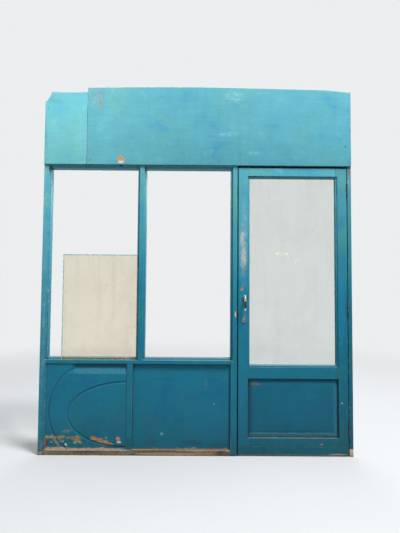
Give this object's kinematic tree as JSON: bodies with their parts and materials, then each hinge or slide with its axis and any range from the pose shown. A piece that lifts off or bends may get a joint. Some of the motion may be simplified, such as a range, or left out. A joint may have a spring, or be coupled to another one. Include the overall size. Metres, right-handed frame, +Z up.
{
  "type": "glazed door in a shopfront frame",
  "caption": "Half-glazed timber door hung in its own frame, with window lights over lower panels beside it and a plywood fascia across the top.",
  "frame": {"origin": "middle of the underside of the frame's sill line, half way through the frame's depth", "axes": "+Z up; the unit faces -Y; +X to the right of a viewer in front, towards the hinges"},
  "size_m": [2.31, 0.1292, 2.7453],
  "materials": {
    "painted_timber": "weathered turquoise gloss paint",
    "painted_plywood": "weathered turquoise gloss paint",
    "bare_softwood": "sawn, unpainted",
    "window_glass": "clear float glass, dusty",
    "hinge_steel": "dark, lightly rusted",
    "fixing_steel": "dull steel",
    "worn_chrome": "worn plating",
    "rose_metal": "plated steel with paint on it",
    "painted_metal": "painted over with the door",
    "lock_steel": "dull zinc plate",
    "bolt_brass": "dull cast brass"
  },
  "bodies": {
    "frame": {"bottom_rail": "painted_timber", "carved_panel": "painted_timber", "carved_panel_strips": "bare_softwood", "deadlock_strike": "lock_steel", "fascia_long_board": "painted_plywood", "fascia_nails": "fixing_steel", "fascia_short_board": "painted_plywood", "fascia_stud_at_seam": "bare_softwood", "fascia_stud_over_door": "bare_softwood", "fascia_stud_over_lock_post": "bare_softwood", "fascia_stud_over_mullion": "bare_softwood", "head_rail": "painted_timber", "hinge_bottom_jamb_plate": "hinge_steel", "hinge_bottom_pin": "hinge_steel", "hinge_jamb": "painted_timber", "hinge_middle_jamb_plate": "hinge_steel", "hinge_middle_pin": "hinge_steel", "hinge_screws_jamb": "fixing_steel", "hinge_top_jamb_plate": "hinge_steel", "hinge_top_pin": "hinge_steel", "latch_strike": "lock_steel", "left_jamb": "painted_timber", "lock_post": "painted_timber", "lower_muntin": "painted_timber", "mid_rail": "painted_timber", "mullion": "painted_timber", "offcut_pane": "window_glass", "plain_panel": "painted_plywood", "plain_panel_strips": "bare_softwood", "strike_screws": "fixing_steel", "top_rail": "bare_softwood"},
    "door": {"back_keyhole_plate": "painted_metal", "back_rose": "rose_metal", "deadlock_case": "lock_steel", "door_bottom_rail": "painted_timber", "door_foot_strip": "painted_timber", "door_glass": "window_glass", "door_lock_rail": "painted_timber", "door_panel": "painted_timber", "door_top_rail": "painted_timber", "forend_screws": "fixing_steel", "front_keyhole_plate": "painted_metal", "front_rose": "rose_metal", "glass_bead_bottom": "painted_timber", "glass_bead_left": "painted_timber", "glass_bead_right": "painted_timber", "glass_bead_top": "painted_timber", "hinge_bottom_door_plate": "hinge_steel", "hinge_middle_door_plate": "hinge_steel", "hinge_screws_door": "fixing_steel", "hinge_stile": "painted_timber", "hinge_top_door_plate": "hinge_steel", "latch_case": "lock_steel", "lock_stile": "painted_timber"},
    "lever": {"back_lever": "worn_chrome", "follower": "lock_steel", "front_lever": "worn_chrome", "spindle": "lock_steel"},
    "latch": {"latch_bolt": "bolt_brass"},
    "deadbolt": {"deadbolt": "bolt_brass"}
  },
  "joints": [
    {"name": "door_swing", "type": "hinge", "parent": "frame", "child": "door", "pos_m": [1.1235, -0.042, 1], "axis": [0, 0, 1], "range_deg": [0, 110]},
    {"name": "lever_turn", "type": "hinge", "parent": "door", "child": "lever", "pos_m": [0.356, -0.0185, 1.156], "axis": [0, -1, 0], "range_deg": [0, 90]},
    {"name": "latch_slide", "type": "slide", "parent": "door", "child": "latch", "axis": [-1, 0, 0], "range_m": [0, 0.012]},
    {"name": "deadbolt_slide", "type": "slide", "parent": "door", "child": "deadbolt", "axis": [-1, 0, 0], "range_m": [0, 0.012]}
  ],
  "couplings": [
    {"joint": "latch_slide", "follows": "lever_turn", "m_per_rad": 0.00763}
  ]
}
